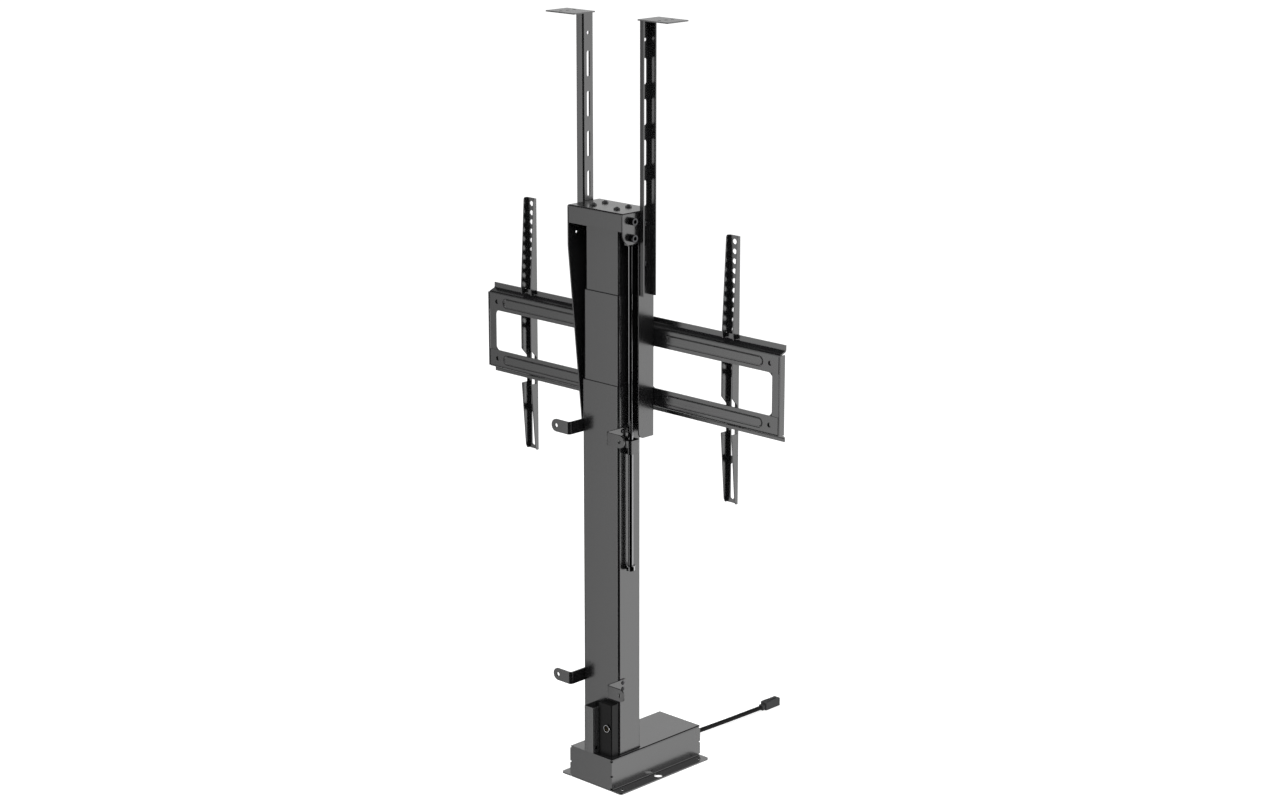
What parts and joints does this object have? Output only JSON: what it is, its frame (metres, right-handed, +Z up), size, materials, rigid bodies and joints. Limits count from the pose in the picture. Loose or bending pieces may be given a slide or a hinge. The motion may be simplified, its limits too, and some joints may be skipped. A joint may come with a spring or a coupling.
{
  "type": "tv lift mechanism",
  "caption": "Motorised lift column for a TV, with a boxed foot, telescopic tubes, a rail frame with hanging arms, lid brackets and wall tabs.",
  "frame": {"origin": "on the floor, on the axis of the column", "axes": "+Z up, -Y towards the TV, +Y towards the cabinet back, +X along the rails to the left as seen from behind"},
  "size_m": [0.672, 0.504, 1.301],
  "materials": {
    "black_coat": "semi-gloss black powder coat",
    "zinc_steel": "zinc plated",
    "black_steel": "black oxide",
    "brass": "turned",
    "black_plastic": "moulded",
    "circuit_board": "satin",
    "cable_jacket": "satin",
    "bright_metal": "plated"
  },
  "bodies": {
    "base": {"base_cover": "black_coat", "base_plate": "black_coat", "base_end_plates": "black_coat", "column_foot": "black_coat", "gearbox": "black_plastic", "gearbox_screws": "zinc_steel", "motor": "zinc_steel", "motor_cradle": "black_coat", "control_board": "circuit_board", "board_parts": "black_plastic", "board_posts": "brass", "outer_tube": "black_coat", "outer_guide": "black_plastic", "tab_upper_left": "black_coat", "tab_upper_right": "black_coat", "tab_lower_left": "black_coat", "tab_lower_right": "black_coat", "tab_screws": "black_steel", "rod_sleeve": "black_coat", "sleeve_bush": "black_plastic", "wire_cover": "black_coat", "wire_cover_screws": "black_steel", "socket_panel": "black_plastic", "handset_socket": "bright_metal", "thrust_bearing": "zinc_steel", "cable_gland": "black_plastic", "cable": "cable_jacket", "cable_plug": "black_plastic"},
    "lower_drive": {"lower_screw": "zinc_steel"},
    "middle_stage": {"middle_tube": "black_coat", "middle_end_block": "black_plastic", "middle_bearing": "zinc_steel", "middle_glides": "black_plastic", "middle_guide": "black_plastic"},
    "upper_drive": {"upper_screw": "zinc_steel", "lower_nut": "brass"},
    "head": {"inner_tube": "black_coat", "inner_end_block": "black_plastic", "upper_nut": "brass", "inner_glides": "black_plastic", "head_plate": "zinc_steel", "cap_screws": "black_steel", "head_bracket": "black_coat", "rod_hanger": "black_coat", "hanger_bolts": "black_steel", "stop_rod": "zinc_steel", "stop_nut": "zinc_steel", "lid_clamp_screws": "black_steel", "rail_frame": "black_coat", "rail_bolts": "black_steel"},
    "lid_arm_left": {"lid_bracket_left": "black_coat"},
    "lid_arm_right": {"lid_bracket_right": "black_coat"},
    "tv_hook_left": {"tv_arm_left": "black_coat"},
    "tv_hook_right": {"tv_arm_right": "black_coat"}
  },
  "joints": [
    {"name": "lift_lower", "type": "slide", "parent": "base", "child": "middle_stage", "axis": [0, 0, 1], "range_m": [-0.134, 0.096]},
    {"name": "lift_upper", "type": "slide", "parent": "middle_stage", "child": "head", "axis": [0, 0, 1], "range_m": [-0.134, 0.096]},
    {"name": "lower_screw_turn", "type": "hinge", "parent": "base", "child": "lower_drive", "pos_m": [0, 0, 0.2], "axis": [0, 0, 1], "continuous": true},
    {"name": "upper_screw_turn", "type": "hinge", "parent": "middle_stage", "child": "upper_drive", "pos_m": [0, 0, 0.4], "axis": [0, 0, 1], "continuous": true},
    {"name": "lid_slide_left", "type": "slide", "parent": "head", "child": "lid_arm_left", "axis": [0, 0, 1], "range_m": [-0.002, 0.033]},
    {"name": "lid_slide_right", "type": "slide", "parent": "head", "child": "lid_arm_right", "axis": [0, 0, 1], "range_m": [-0.002, 0.033]},
    {"name": "tv_arm_slide_left", "type": "slide", "parent": "head", "child": "tv_hook_left", "axis": [1, 0, 0], "range_m": [-0.13, 0.072]},
    {"name": "tv_arm_slide_right", "type": "slide", "parent": "head", "child": "tv_hook_right", "axis": [1, 0, 0], "range_m": [-0.099, 0.103]}
  ],
  "couplings": [
    {"joint": "lift_upper", "follows": "lift_lower", "ratio": 1},
    {"joint": "lower_screw_turn", "follows": "lift_lower", "rad_per_m": 1570.8},
    {"joint": "upper_screw_turn", "follows": "lift_lower", "rad_per_m": 785.4}
  ]
}
